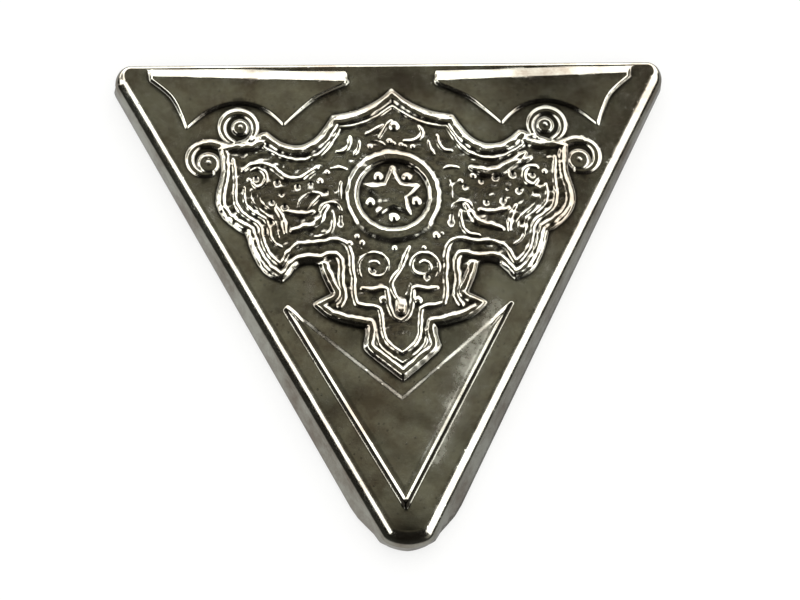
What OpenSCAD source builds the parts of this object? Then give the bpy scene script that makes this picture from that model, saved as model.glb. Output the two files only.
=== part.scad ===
// Slip-on collar tip: one stamped sheet of plated metal, lying on its back.
// The straight edge is towards +Y, the point towards -Y and the ornament upwards.

/* [Plate] */
// Length from the straight edge to the point
tip_length = 42; // [40:0.5:44]
// Half width of the plate at mid length
side_at_middle = 12.7; // [12.4:0.1:12.9]
// Angle of each sloping side to the centre line
side_angle = 27.9; // [27.6:0.1:28.2]
// Radius of the two upper corners, seen from above
corner_r = 1.3; // [1.2:0.1:1.5]
// Height of the plain face above the back
face_z = 2.8; // [2.6:0.1:3.4]
// Thickness of the sheet
sheet = 0.4; // [0.3:0.05:0.5]
// Outer radius of the bend between face and walls
bend_r = 1; // [0.8:0.1:1.1]
// Outer radius of the bend between walls and return flanges
foot_r = 0.5; // [0.45:0.05:0.6]

/* [Walls and flanges] */
// How far the side walls lean out at the upper corners
flare_top = 0.12; // [0:0.02:0.3]
// How far the side walls lean out near the point
flare_low = 0.66; // [0.3:0.02:0.7]
// How far the wall leans in round the point
point_lean = 0.25; // [0:0.05:0.3]
// Depth of the turned-down lip along the straight edge
lip_depth = 1.2; // [1:0.1:1.5]
// Distance from the straight edge to the ends of the side walls
mouth_setback = 1.5; // [1.4:0.1:2.5]
// Width of each return flange
flange_w = 4.2; // [3:0.1:5]
// Radius between the two return flanges at the point
flange_r = 1; // [0.5:0.1:2]

/* [Ornament] */
// Height of the corner panels and the chevron panel
panel_h = 0.25; // [0.15:0.05:0.35]
// Height of the small strokes, dots and star
stroke_h = 0.3; // [0.2:0.05:0.4]
// Height of the cartouche ridges, scrolls and ring
ridge_h = 0.4; // [0.3:0.05:0.5]
// Width of the cartouche ridges
ridge_w = 0.65; // [0.5:0.05:0.8]
// Distance from the cartouche edge to the middle of the outer ridge
ridge_outer_inset = 0.55; // [0.45:0.05:0.65]
// Distance from the cartouche edge to the middle of the inner ridge
ridge_inner_inset = 1.8; // [1.6:0.05:2]
// Width of the small strokes
stroke_w = 0.38; // [0.3:0.02:0.5]
// Height of the ring and star centre above mid length
ring_y = 9.1; // [9:0.1:9.3]
// Radius of the middle of the ring
ring_r = 3.55; // [3.4:0.05:3.6]
// Width of the ring
ring_w = 0.85; // [0.7:0.05:1]
// Radius of the star's points
star_r = 2.4; // [2.2:0.05:2.5]
// Radius of the star's notches
star_notch_r = 1.22; // [1:0.05:1.3]
// Radius of the beads between the star's points
bead_r = 0.27; // [0.2:0.01:0.3]

/* [Hidden] */
steel = [0.62, 0.61, 0.57];
top_y = tip_length / 2;
// The sides meet at side_apex on the centre line, and the point's arc touches both
side_apex = -side_at_middle / tan(side_angle);
point_r = (-side_apex - top_y) / (1 / sin(side_angle) - 1);
point_cy = -top_y + point_r;
corner_cy = top_y - corner_r;
corner_cx = side_x(corner_cy) - corner_r / cos(side_angle);
corner_steps = 6;
point_steps = 10;
bend_end = 80;
bend_steps = 4;
// Where the flare ends near the point. Columns: y, share of flare_low
flare_end = [[-16.6, 1], [-17.5, 0.9], [-18.35, 0.55], [-19.15, 0.05]];
// Each raised form is sunk this far into the plate
sink = 0.15;
// The tools that cut the plate reach this far past it
past = 3;

// Half width of the plate at height y
function side_x(y) = side_at_middle + tan(side_angle) * y;

// Stations round the outline, clockwise from the straight edge
// Columns: centre x, centre y, radius, direction in degrees, flare of the wall's foot
function right_stations() = concat(
    [for (i = [0:corner_steps])
        [corner_cx, corner_cy, corner_r, 90 - i * (90 + side_angle) / corner_steps, flare_top]],
    [for (f = flare_end) [side_x(f[0]), f[0], 0, -side_angle, f[1] * flare_low]],
    [for (i = [0:point_steps / 2])
        [0, point_cy, point_r, -side_angle - i * (90 - side_angle) * 2 / point_steps, -point_lean]]);
function mirrored_stations(s) = [for (i = [len(s) - 2:-1:0])
    [-s[i][0], s[i][1], s[i][2], 180 - s[i][3], s[i][4]]];
stations = concat(right_stations(), mirrored_stations(right_stations()));

// One closed section: the outline grown by grow, with a share of the flare, at height z
function section(grow, share, z) = [for (s = stations)
    let (r = s[2] + grow + share * s[4])
    [s[0] + r * cos(s[3]), s[1] + r * sin(s[3]), z]];

// Sections through the bend at the top, from the face out to the wall, for a bend of radius r
function bend_sections(inset, top, r) = [for (k = [0:bend_steps])
    let (a = bend_end * k / bend_steps)
    section(-inset - r * (sin(bend_end) - sin(a)), 0, top - r * (1 - cos(a)))];

// A solid through a stack of sections, each with the same number of points
module loft(sections) {
    n = len(sections[0]);
    m = len(sections);
    polyhedron(
        points = [for (s = sections) each s],
        faces = concat(
            [[for (i = [0:n - 1]) i]],
            [for (k = [0:m - 2], i = [0:n - 1]) [k * n + i, (k + 1) * n + i, (k + 1) * n + (i + 1) % n]],
            [for (k = [0:m - 2], i = [0:n - 1]) [k * n + i, (k + 1) * n + (i + 1) % n, k * n + (i + 1) % n]],
            [[for (i = [n - 1:-1:0]) (m - 1) * n + i]]));
}

// The plate's outside, from the face down over the bend, the wall and the foot's bend
module outside() {
    loft(concat(
        bend_sections(0, face_z, bend_r),
        [section(0, 1, foot_r),
         section(-foot_r * (1 - sin(45)), 1, foot_r * (1 - sin(45))),
         section(-foot_r, 1, 0)]));
}

// The pocket for the collar, one sheet inside the outside
module pocket() {
    loft(concat(
        bend_sections(sheet, face_z - sheet, bend_r - sheet),
        [section(-sheet, 1, sheet)]));
}

// The pocket's mouth under the lip of the straight edge
module mouth() {
    translate([-corner_cx - past, top_y - mouth_setback, -past])
        cube([2 * (corner_cx + past), mouth_setback + past, past + face_z - lip_depth]);
}

// The open back between the two return flanges
module back_opening() {
    edge = side_at_middle + flare_top - flange_w / cos(side_angle);
    linear_extrude(height = 2 * (sheet + sink), center = true)
        offset(r = flange_r, $fn = 32) offset(delta = -flange_r)
            polygon([[0, -edge / tan(side_angle)],
                     [edge + tan(side_angle) * (top_y + past), top_y + past],
                     [-edge - tan(side_angle) * (top_y + past), top_y + past]]);
}

// A smooth curve through a table with the columns x, y, sharp.
// Where sharp is 1 the curve turns a corner.
function smooth(t, steps) = concat(
    [for (i = [0:len(t) - 2])
        let (b = xy(t[i]), c = xy(t[i + 1]),
             a = i == 0 || t[i][2] == 1 ? b : xy(t[i - 1]),
             d = i == len(t) - 2 || t[i + 1][2] == 1 ? c : xy(t[i + 2]))
        for (k = [0:steps - 1]) let (u = k / steps)
            (2 * b + (c - a) * u + (2 * a - 5 * b + 4 * c - d) * u * u
             + (3 * b - a - 3 * c + d) * u * u * u) / 2],
    [xy(t[len(t) - 1])]);
function xy(row) = [row[0], row[1]];

// Points along a spiral about (cx, cy), from radius r0 at angle a0 to r1 at a1
function spiral(cx, cy, r0, r1, a0, a1, steps) = [for (i = [0:steps])
    let (u = i / steps, r = r0 + (r1 - r0) * u, a = a0 + (a1 - a0) * u)
    [cx + r * cos(a), cy + r * sin(a)]];

// Both halves of an outline whose right half runs from the top to the bottom
function both_halves(p) = concat(p, [for (i = [len(p) - 2:-1:1]) [-p[i][0], p[i][1]]]);

// A line of the given width along a list of points, with round ends
module line_along(points, width) {
    hair = 0.01;
    offset(r = width / 2, $fn = 12)
        polygon(concat(points, [for (i = [len(points) - 1:-1:0]) points[i] + [hair, hair]]));
}

module left_and_right() {
    children();
    mirror([1, 0]) children();
}

// Right half of the cartouche's edge. Columns: x, y, sharp
cartouche_edge = [
    [0, 18.6, 1], [0.95, 17.75, 0], [2, 17.1, 0], [3.3, 16.6, 0], [4.9, 16.3, 1],
    [5.6, 15.3, 0], [6.5, 14.2, 0], [7.6, 13.65, 0], [8.7, 13.65, 0], [9.7, 14.1, 0],
    [10.5, 14.8, 1], [11.7, 14.05, 0], [13.95, 13.15, 1], [13.9, 12.2, 0], [14.15, 11, 0],
    [14.7, 9.6, 0], [14.8, 8.2, 0], [14.2, 6.8, 0], [13.1, 5.95, 0], [12.25, 5.4, 1],
    [11.85, 4.4, 0], [11.3, 2.8, 0], [10.6, 1.9, 0], [9.8, 1.3, 1], [9.05, 2.1, 0],
    [8.3, 2.85, 0], [7.2, 3, 0], [6.45, 2.8, 1], [6.3, 2, 0], [5.95, 1.1, 0],
    [5.85, 0.4, 0], [6.2, -0.1, 0], [6.95, -0.45, 1], [6.3, -1.3, 0], [5.2, -2.05, 0],
    [4, -2.4, 0], [2.85, -2.6, 1], [2.85, -3.3, 0], [3.1, -4.1, 0], [2.9, -4.7, 1],
    [1.5, -5.9, 0], [0, -7.1, 1]];

// Right corner panel. Columns: x, y, sharp
corner_edge = [
    [20.1, 19.4, 1], [18.5, 18.05, 0], [17.7, 16.5, 0], [17.2, 15.1, 1], [15.6, 16.3, 0],
    [14.2, 17, 0], [12.8, 17.25, 0], [11.4, 16.95, 0], [10.2, 16.3, 0], [9.25, 15.3, 1],
    [8.1, 16.3, 0], [6.5, 17.6, 0], [5, 18.4, 0], [3.7, 19.15, 0], [3.8, 19.4, 1]];

// Right half of the chevron panel
chevron_edge = [[0, -8.6], [9.15, -0.55], [0, -17.8]];

// Strokes of the right half that follow a hand-drawn line. Columns: x, y, sharp
strokes = [
    // third contour along the top of the wing
    [[13.05, 10.2, 0], [12.9, 11.1, 0], [12.2, 11.7, 0], [11.3, 11.9, 0], [10.35, 11.7, 0],
     [9.55, 11.1, 0], [8.85, 10.5, 0], [7.9, 10.55, 0], [7.15, 11.2, 0], [6.2, 11.65, 0]],
    // arcs down the outer side of the wing
    [[12.85, 9.5, 0], [12.9, 8.7, 0], [12.6, 7.9, 0], [11.9, 7.35, 0]],
    [[12.2, 9.1, 0], [12.1, 8.4, 0], [11.6, 7.7, 0], [10.8, 7.1, 0], [9.8, 7.05, 0]],
    // leaf bands along the bottom of the wing
    [[9.7, 6.9, 0], [8.6, 7.15, 0], [7.4, 7.1, 0], [6.5, 7.9, 0], [6, 8.4, 0]],
    [[9.5, 5.75, 0], [8.7, 6.1, 0], [7.3, 6.4, 0], [6.6, 7.05, 0], [5.9, 7.6, 0]],
    [[9.2, 4.75, 0], [8.6, 5.3, 0], [7.3, 5.6, 0], [6.3, 6.2, 0], [5.75, 6.8, 1],
     [5.85, 5.4, 0], [6.6, 4.9, 0], [8, 4.75, 0]],
    // leaf between the wing and the ring
    [[7.9, 7.9, 0], [7.6, 8.75, 0], [6.9, 9.3, 0], [6.3, 9, 0], [6.9, 8.3, 0], [7.7, 7.7, 0]],
    // teardrop beside the ring
    [[4.9, 6.6, 0], [4.6, 5.8, 0], [4.85, 5.4, 0], [5.1, 5.8, 0], [4.9, 6.6, 0]],
    // curls of the crest
    [[0.9, 15.5, 0], [1.6, 15.2, 0], [2.4, 14.7, 0]],
    [[0.9, 14, 0], [1.7, 14.05, 0], [2.35, 14.5, 0], [2.2, 15.1, 0]],
    [[3.5, 14.4, 0], [3.75, 13.5, 0], [4.2, 12.95, 0], [4.7, 12.9, 0]],
    [[2.75, 13.9, 0], [2.9, 13.25, 0], [3.3, 12.75, 0]],
    // ridge round the drop
    [[1.05, 0.6, 0], [0.95, -0.4, 0], [0.6, -1.3, 0], [0, -1.75, 0]],
    // leaf of the stem
    [[0.05, 3.1, 0], [0.55, 2, 0], [0.7, 1.1, 0], [0.35, 0.2, 0]]];

// The two scrolls and the small curls of the right half.
// Columns: centre x, centre y, first radius, last radius, first angle, last angle
scrolls = [
    [12.85, 15.1, 1.9, 0.85, 200, -225],
    [15.95, 12.2, 1.65, 0.8, 90, -245]];
curls = [
    [1.95, 2.95, 1.5, 0.4, -40, 450],
    [11.4, 10.3, 0.9, 0.7, 20, 300]];
scroll_steps = 20;
scroll_ball_r = 0.42;
scroll_link = [[15.95, 13.85, 0], [15, 13.7, 0], [14, 13.4, 0], [13.1, 13.3, 0], [12.2, 13.55, 0],
    [11.1, 14.1, 0]];

// Dots in the right wing. Columns: x, y, radius
dots = [
    [8.4, 10.05, 0.28], [9.75, 10.4, 0.28], [10.25, 9.1, 0.28], [8.9, 8.25, 0.28],
    [7.5, 9.9, 0.22], [5.6, 10.2, 0.24], [5.3, 9.2, 0.2], [9.25, 9.55, 0.16],
    [12.3, 10.9, 0.2], [5.1, 8.2, 0.18]];
// Balls of the crest, on an arc about the ring's centre
crest_ball_r = 0.26;
crest_ring_r = 4.6;
crest_step = 13;
crest_drop = [0, 15, 0.42];

// A band of the cartouche at an inset from its edge
module contour_band(inset, width) {
    difference() {
        offset(delta = -inset + width / 2) cartouche_shape();
        offset(delta = -inset - width / 2) cartouche_shape();
    }
}

module cartouche_shape() {
    polygon(both_halves(smooth(cartouche_edge, 3)));
}

module panels_2d() {
    left_and_right() polygon(smooth(corner_edge, 3));
    offset(r = 0.3, $fn = 24) offset(delta = -0.3) polygon(both_halves(chevron_edge));
}

module ridges_2d() {
    contour_band(ridge_outer_inset, ridge_w);
    contour_band(ridge_inner_inset, ridge_w);
    left_and_right() {
        for (s = scrolls) {
            line_along(spiral(s[0], s[1], s[2], s[3], s[4], s[5], scroll_steps), ridge_w);
            translate([s[0], s[1]]) circle(r = scroll_ball_r, $fn = 16);
        }
        line_along(smooth(scroll_link, 3), ridge_w);
    }
}

module strokes_2d() {
    left_and_right() {
        for (s = strokes) line_along(smooth(s, 2), stroke_w);
        for (c = curls) line_along(spiral(c[0], c[1], c[2], c[3], c[4], c[5], scroll_steps), stroke_w);
        for (d = dots) translate([d[0], d[1]]) circle(r = d[2], $fn = 14);
    }
    translate([0, ring_y]) star_2d();
}

module star_2d() {
    polygon([for (i = [0:9]) let (r = i % 2 == 0 ? star_r : star_notch_r, a = 90 + 36 * i)
        r * [cos(a), sin(a)]]);
}

// Round forms, kept as true cylinders: the ring, its beads, the crest's balls and the drop
module round_forms() {
    translate([0, ring_y, face_z - sink]) {
        difference() {
            cylinder(r = ring_r + ring_w / 2, h = ridge_h + sink, $fn = 96);
            translate([0, 0, -sink]) cylinder(r = ring_r - ring_w / 2, h = ridge_h + past, $fn = 96);
        }
        for (i = [0:4]) rotate([0, 0, 90 + 36 + 72 * i])
            translate([star_r, 0, 0]) cylinder(r = bead_r, h = stroke_h + sink, $fn = 24);
        for (i = [-2:2]) rotate([0, 0, 90 + crest_step * i])
            translate([crest_ring_r, 0, 0]) cylinder(r = crest_ball_r, h = stroke_h + sink, $fn = 24);
    }
    translate([crest_drop[0], crest_drop[1], face_z - sink])
        cylinder(r = crest_drop[2], h = stroke_h + sink, $fn = 24);
}

module raised(height) {
    weld = 0.01;
    translate([0, 0, face_z - sink]) linear_extrude(height = height + sink)
        offset(delta = weld) children();
}

module shell() {
    color(steel) {
        difference() {
            outside();
            pocket();
            mouth();
            back_opening();
        }
        raised(panel_h) panels_2d();
        raised(ridge_h) ridges_2d();
        raised(stroke_h) strokes_2d();
        round_forms();
    }
}

shell();
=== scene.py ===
"""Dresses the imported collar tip: one stamped and folded sheet of bright nickel plate, lying on its back.

Sizes are in millimetres until the meshes are made, and are those of the part's own source.
"""
import math

import bpy
import numpy as np
from mathutils import Matrix, Vector
from mathutils.geometry import delaunay_2d_cdt, tessellate_polygon


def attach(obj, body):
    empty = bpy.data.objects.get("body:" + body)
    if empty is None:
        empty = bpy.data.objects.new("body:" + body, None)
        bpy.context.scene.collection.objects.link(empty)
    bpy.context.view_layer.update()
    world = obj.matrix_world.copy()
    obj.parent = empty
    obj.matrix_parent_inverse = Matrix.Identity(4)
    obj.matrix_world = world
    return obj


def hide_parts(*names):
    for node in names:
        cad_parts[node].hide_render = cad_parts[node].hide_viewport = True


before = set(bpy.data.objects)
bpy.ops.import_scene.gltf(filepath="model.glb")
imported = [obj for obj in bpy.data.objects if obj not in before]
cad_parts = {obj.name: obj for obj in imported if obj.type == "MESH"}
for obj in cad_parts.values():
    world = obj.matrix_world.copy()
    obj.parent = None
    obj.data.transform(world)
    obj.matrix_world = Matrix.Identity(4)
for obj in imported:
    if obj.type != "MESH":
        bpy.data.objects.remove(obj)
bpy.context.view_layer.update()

MM = 0.001

# Plate, walls and flanges, as in the part
TIP_LENGTH = 42.0
SIDE_AT_MIDDLE = 12.7
SIDE_ANGLE = math.radians(27.9)
CORNER_R = 1.3
FACE_Z = 2.8
SHEET = 0.4
BEND_R = 1.25
FOOT_R = 0.5
FLARE_TOP = 0.12
FLARE_LOW = 0.66
LIP_DEPTH = 1.2
MOUTH_SETBACK = 1.5
FLANGE_W = 4.2
FLANGE_R = 1.0
INNER_CHAMFER = 0.1
# How the flare ends towards the point. Columns: y, share
FLARE_END = [(-16.6, 1.0), (-17.5, 0.88), (-18.35, 0.52), (-19.1, 0.18)]
# How far the foot of the point's wall stands out. Columns: share of the turn to the side, distance
POINT_FOOT = [(0, -0.1), (0.3, -0.17), (0.6, -0.17), (0.8, -0.09), (1, 0.05)]
# The bend along the straight edge is tighter than the sides' bends
TOP_BEND_R = 0.34
BEND_END = math.radians(80)
# Edges that turn by more than this are sharp
SHARP_ANGLE = math.radians(38)

TOP_Y = TIP_LENGTH / 2
# The point's wall stands a little inside the part's box
POINT_Y = -20.72
# It is a flat arc between two tighter ones, which touch the sides
POINT_R = 4.0
POINT_CORNER_R = 1.4
POINT_CY = POINT_Y + POINT_R
SIDE_GAP = SIDE_AT_MIDDLE * math.cos(SIDE_ANGLE) + math.sin(SIDE_ANGLE) * POINT_CY
POINT_TURN = SIDE_ANGLE + math.acos((SIDE_GAP - POINT_CORNER_R) / (POINT_R - POINT_CORNER_R))
CORNER_CY = TOP_Y - CORNER_R
FACE_END_Y = TOP_Y - TOP_BEND_R * math.sin(BEND_END)
LIP_Z = FACE_Z - LIP_DEPTH
MOUTH_Y = TOP_Y - MOUTH_SETBACK

# Ring, with its middle and the reach of its ridge inwards and outwards
RING_X = -0.22
RING_Y = 9.12
RING_R = 3.38
RING_H = 0.15
RING_IN = 0.5
RING_OUT = 0.62
RING_FLOOR_DEPTH = 0.1

# Star, and the beads in its notches and over its top point
STAR_Y = RING_Y + 0.15
STAR_R = 2.4
STAR_NOTCH_R = 1.2
STAR_H = 0.15
BEAD_REACH = 2.0
BEAD_R = 0.48
TOP_BEAD_R = 0.34

# How far outside its outline the edge of a raised field starts to slope
EDGE_OUT = 0.06
# Field of the cartouche: how wide its edge slopes, also where it is steep, and how uneven it is
# in the middle and in the wings
FIELD_H = 0.16
FIELD_EDGE_W = 0.34
FIELD_STEEP_W = 0.17
UNEVEN_MIDDLE = 0.01
UNEVEN_WING = 0.016

# Height of a ridge or dome over its half width
RISE = 0.31
# The share of the half width which slopes, for broad ridges and for the thinnest
SLOPING = 0.64
SLOPING_THIN = 0.95

# Corner panels: heights at the low end and by the straight edge, and the bevel along that edge
PANEL_LOW_H = 0.13
PANEL_HIGH_H = 0.26
PANEL_EDGE_W = 0.3
BEVEL_SETBACK = 0.42
BEVEL_INNER_W = 0.9
BEVEL_OUTER_W = 0.74

# Chevron panel: ridge and a black groove line of painted shade along the long edges, a round spot of
# painted shade at the lower corner, faint step along the upper ones
CHEVRON_RIDGE_H = 0.15
CHEVRON_RIDGE_FALL = 0.12
GROOVE_SHADE_HALF_WIDTH = 0.18
SHADE_SPOT_R = 0.46
STEP_H_LEFT = 0.057
STEP_H_RIGHT = 0.075
STEP_W = 0.34

# Softness of the pressed forms, of the chevron and of the back, and how deep the hollows darken with
# painted shade
SOFT = 0.045
SOFT_CHEVRON = 0.035
SOFT_BACK = 0.28
BACK_SHARE = 0.9
WAVE_H = 0.012
WAVE_LENGTH = 4.5
HOLLOW_REACH = 0.32
HOLLOW_SHADE = 0.8

# How closely the meshes follow the relief, and how far inside the bends they start
TOP_TOLERANCE = 0.0065
TOP_CLEARANCE = 0.12
BACK_TOLERANCE = 0.02
BACK_CLEARANCE = 0.25
TARNISH_AND_SHADE_DETAIL = 0.02


def side_x(y):
    """Half width of the plate at height y."""
    return SIDE_AT_MIDDLE + math.tan(SIDE_ANGLE) * y


# Right half of the cartouche's outer edge. Columns: x, y, sharp
CARTOUCHE_EDGE = [
    (0, 18.65, 1), (0.95, 17.8, 0), (2, 17.15, 0), (3.3, 16.6, 0), (5.05, 16.26, 1),
    (5.75, 15.16, 0), (6.5, 14.26, 0), (7.5, 13.68, 0), (8.5, 13.64, 0), (9.5, 14.01, 0),
    (10.5, 14.86, 1), (12, 14.36, 0), (14.5, 13.47, 1), (14.4, 12.37, 0), (14.35, 11.27, 0),
    (14.6, 10.2, 0), (14.82, 9.3, 0), (14.8, 8.3, 0), (14.25, 7.2, 0), (13.15, 6.2, 0),
    (12.45, 5.8, 1), (12.2, 4.8, 0), (11.7, 3.5, 0), (10.9, 2.31, 0), (9.6, 1.61, 1),
    (8.9, 2.31, 0), (8.3, 2.95, 0), (7.3, 3.22, 0), (6.45, 2.95, 1), (6.3, 2.21, 0),
    (5.95, 1.31, 0), (5.65, 0.61, 0), (6.1, 0.31, 0), (7.15, -0.28, 1), (6.2, -1.28, 0),
    (5.1, -1.88, 0), (4, -2.23, 0), (2.95, -2.48, 1), (2.95, -3.17, 0), (3.15, -3.97, 0),
    (2.95, -4.47, 1), (1.5, -5.76, 0), (0, -7.01, 1)]

# Right corner panel. Columns: x, y, sharp
CORNER_EDGE = [
    (20.3, 21.2, 1), (20.1, 19.54, 1), (18.5, 18.1, 0), (17.7, 16.55, 0), (17.2, 15.11, 1),
    (15.6, 16.45, 0), (14.2, 17.1, 0), (12.8, 17.35, 0), (11.4, 17.1, 0), (10.2, 16.45, 0),
    (9.1, 15.36, 1), (8.1, 16.3, 0), (6.5, 17.65, 0), (5, 18.45, 0), (3.85, 18.99, 0),
    (3.65, 19.34, 0), (3.75, 19.8, 0), (3.75, 21.2, 1)]

# The chevron panel, clockwise from its notch. Columns: x, y
CHEVRON_EDGE = [(-0.15, -8.45), (9.15, -0.43), (-0.2, -17.62), (-9.42, -0.8), (-9.2, -0.55)]

# Ridges of the right half, mirrored to the left.
# Each row: half width, share of the width left at the ends, points with x, y, sharp
RIDGES = [
    # frame ridge over the top, down into the dip and up to the upper scroll
    (0.45, 1, [(0, 17.98, 1), (1, 17.13, 0), (2, 16.46, 0), (3, 16.04, 0), (4, 15.77, 0),
               (4.78, 15.7, 1), (5.23, 14.88, 0), (5.83, 14.08, 0), (6.62, 13.45, 0),
               (7.5, 13.09, 0), (8.3, 13.04, 0), (9.2, 13.25, 0), (10, 13.74, 0),
               (10.8, 14.38, 0)]),
    # ribbon from the frame under the upper scroll to the lower one
    (0.48, 0.8, [(10.9, 13.86, 0), (11.6, 13.57, 0), (12.5, 13.49, 0), (13.4, 13.49, 0),
                 (14.3, 13.61, 0), (15.1, 13.86, 0), (15.8, 13.82, 0)]),
    # frame ridge down the outside of the wing and round its tip
    (0.34, 1, [(14, 13.4, 0), (13.98, 12.8, 0), (13.96, 12.2, 0), (13.95, 11.5, 0), (14, 10.9, 0),
               (14.13, 10.3, 0), (14.28, 9.7, 0), (14.36, 9, 0), (14.28, 8.3, 0), (13.92, 7.65, 0),
               (13.3, 7.05, 0), (12.66, 6.6, 0), (12, 6.25, 1), (11.85, 5.6, 0), (11.65, 4.9, 0),
               (11.4, 4.2, 0), (11, 3.5, 0), (10.55, 2.9, 0), (10.1, 2.5, 0), (9.6, 2.22, 1),
               (9.2, 2.71, 0), (8.85, 3.2, 0), (8.3, 3.6, 0), (7.6, 3.8, 0), (6.9, 3.72, 0),
               (6.3, 3.72, 0), (5.7, 3.92, 0), (5.15, 3.9, 0), (4.8, 3.5, 0), (4.72, 2.9, 0),
               (4.78, 2.21, 0), (4.8, 1.51, 0), (4.65, 0.91, 0), (4.6, 0.31, 0), (4.8, -0.18, 0),
               (5, -0.48, 0)]),
    # outer ridge of the lower body and the pendant
    (0.44, 1, [(6.1, 3.05, 0), (5.9, 2.41, 0), (5.6, 1.71, 0), (5.35, 1.11, 0), (5.12, 0.66, 0),
               (5.3, 0.26, 0), (5.9, -0.03, 0), (6.65, -0.38, 1), (5.7, -1.13, 0), (4.6, -1.56, 0),
               (3.5, -1.81, 0), (2.5, -2, 1), (2.4, -2.58, 0), (2.5, -3.17, 0), (2.62, -3.82, 0),
               (2.3, -4.37, 0), (1.5, -5.02, 0), (0.7, -5.71, 0), (0, -6.31, 1)]),
    # second ridge under the top edge
    (0.26, 0.6, [(0, 17, 1), (1, 16.3, 0), (2, 15.72, 0), (3, 15.38, 0), (3.9, 15.2, 0),
                 (4.45, 15.18, 1), (4.9, 14.4, 0), (5.4, 13.6, 0), (6, 12.95, 0), (6.8, 12.5, 0),
                 (7.6, 12.3, 0), (8.4, 12.3, 0), (9.2, 12.52, 0), (10, 12.94, 0),
                 (10.9, 13.5, 0)]),
    # second ridge down the wing, along its bottom and round the lower body
    (0.28, 0.6, [(13.38, 12.4, 0), (13.3, 11.6, 0), (13.25, 10.8, 0), (13.26, 10, 0),
                 (13.3, 9.2, 0), (13.2, 8.4, 0), (12.86, 7.8, 0), (12.3, 7.3, 0), (11.7, 6.9, 0),
                 (11.3, 6.4, 0), (11.15, 5.5, 0), (10.95, 4.7, 0), (10.55, 3.95, 0), (10.1, 3.4, 0),
                 (9.62, 3.1, 1), (9.3, 3.75, 0), (8.9, 4.4, 0), (8.2, 4.82, 0), (7.4, 4.95, 0),
                 (6.5, 4.98, 0), (5.8, 5.12, 0), (5.1, 5.2, 0), (4.4, 4.95, 0), (4, 4.3, 0),
                 (3.88, 3.5, 0), (3.88, 2.71, 0), (3.76, 1.91, 0), (3.8, 1.11, 0), (3.76, 0.31, 0),
                 (3.6, -0.38, 1), (2.9, -0.56, 0), (2.2, -0.62, 0), (1.72, -0.83, 1),
                 (1.6, -1.48, 0), (1.55, -2.28, 0), (1.48, -2.97, 0), (1.2, -3.67, 0),
                 (0.6, -4.27, 0), (0, -4.65, 1)]),
    # thin contour between the two ridges of the pendant
    (0.2, 0.5, [(2.05, -2.58, 0), (2.05, -3.27, 0), (1.9, -3.92, 0), (1.1, -4.77, 0),
                (0, -5.51, 1)]),
    # inner contours down the wing
    (0.22, 0.4, [(12.48, 9.95, 0), (12.56, 9.2, 0), (12.45, 8.5, 0), (12.05, 7.95, 0),
                 (11.5, 7.5, 0), (10.95, 7.15, 0), (10.65, 6.6, 0), (10.55, 6, 0), (10.4, 5.4, 0),
                 (10.05, 4.95, 0), (9.55, 4.65, 0)]),
    (0.15, 0.4, [(11.9, 9.8, 0), (12, 9.2, 0), (11.82, 8.6, 0), (11.4, 8.1, 0), (10.9, 7.6, 0),
                 (10.3, 7.15, 0), (9.97, 6.6, 0), (9.92, 6, 0), (9.75, 5.4, 0)]),
    (0.13, 0.4, [(11.3, 9.6, 0), (11.32, 9, 0), (11, 8.4, 0), (10.5, 7.95, 0)]),
    # broad stem where the leaves of the wing meet
    (0.3, 0.4, [(9.95, 8.1, 0), (9.6, 7.5, 0), (9.35, 6.8, 0), (9.25, 5.9, 0)]),
    # leaves of the wing
    (0.3, 0.3, [(9.4, 7.87, 0), (8.5, 7.61, 0), (7.6, 7.54, 0), (6.8, 7.74, 0)]),
    (0.38, 0.5, [(5.7, 8.23, 0), (6.05, 7.69, 0), (6.3, 7.09, 0), (6.8, 6.59, 0), (7.6, 6.39, 0),
                 (8.7, 6.04, 0)]),
    (0.2, 0.4, [(4.55, 7.79, 0), (4.8, 8.28, 0), (5.4, 8.5, 0), (6, 8.38, 0), (6.35, 7.79, 0)]),
    (0.24, 0.4, [(5.3, 7.69, 0), (5.25, 6.99, 0), (5.4, 6.19, 0), (5.9, 5.64, 0), (6.8, 5.5, 0)]),
    # small curl at the top of the wing
    (0.26, 0.5, [(11.9, 11.42, 0), (11.3, 11.57, 0), (10.8, 11.17, 0), (10.7, 10.58, 0),
                 (11, 10.08, 0), (11.5, 9.93, 0), (11.85, 10.28, 0)]),
    # strokes beside the crest and the ring
    (0.24, 0.3, [(3.62, 14.41, 0), (3.7, 13.66, 0), (4.15, 13.05, 0), (4.85, 12.99, 0)]),
    (0.2, 0.3, [(2.85, 13.91, 0), (3, 13.22, 0), (3.35, 12.67, 0)]),
    (0.22, 0.3, [(4.05, 11.42, 0), (4.6, 11.57, 0), (5.35, 11.49, 0)]),
    (0.18, 0.3, [(4.5, 10.38, 0), (4.62, 9.68, 0), (4.6, 8.78, 0)]),
    # ridge round the drop, and the bar beside it
    (0.28, 0.8, [(1.08, 0.86, 0), (1.02, 0.12, 0), (0.9, -0.68, 0), (0.58, -1.48, 0),
                 (0, -1.85, 0)]),
    (0.3, 0.6, [(3.1, 0.96, 0), (2.3, 0.83, 0), (1.5, 0.96, 0), (1.05, 0.86, 0)]),
]

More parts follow.
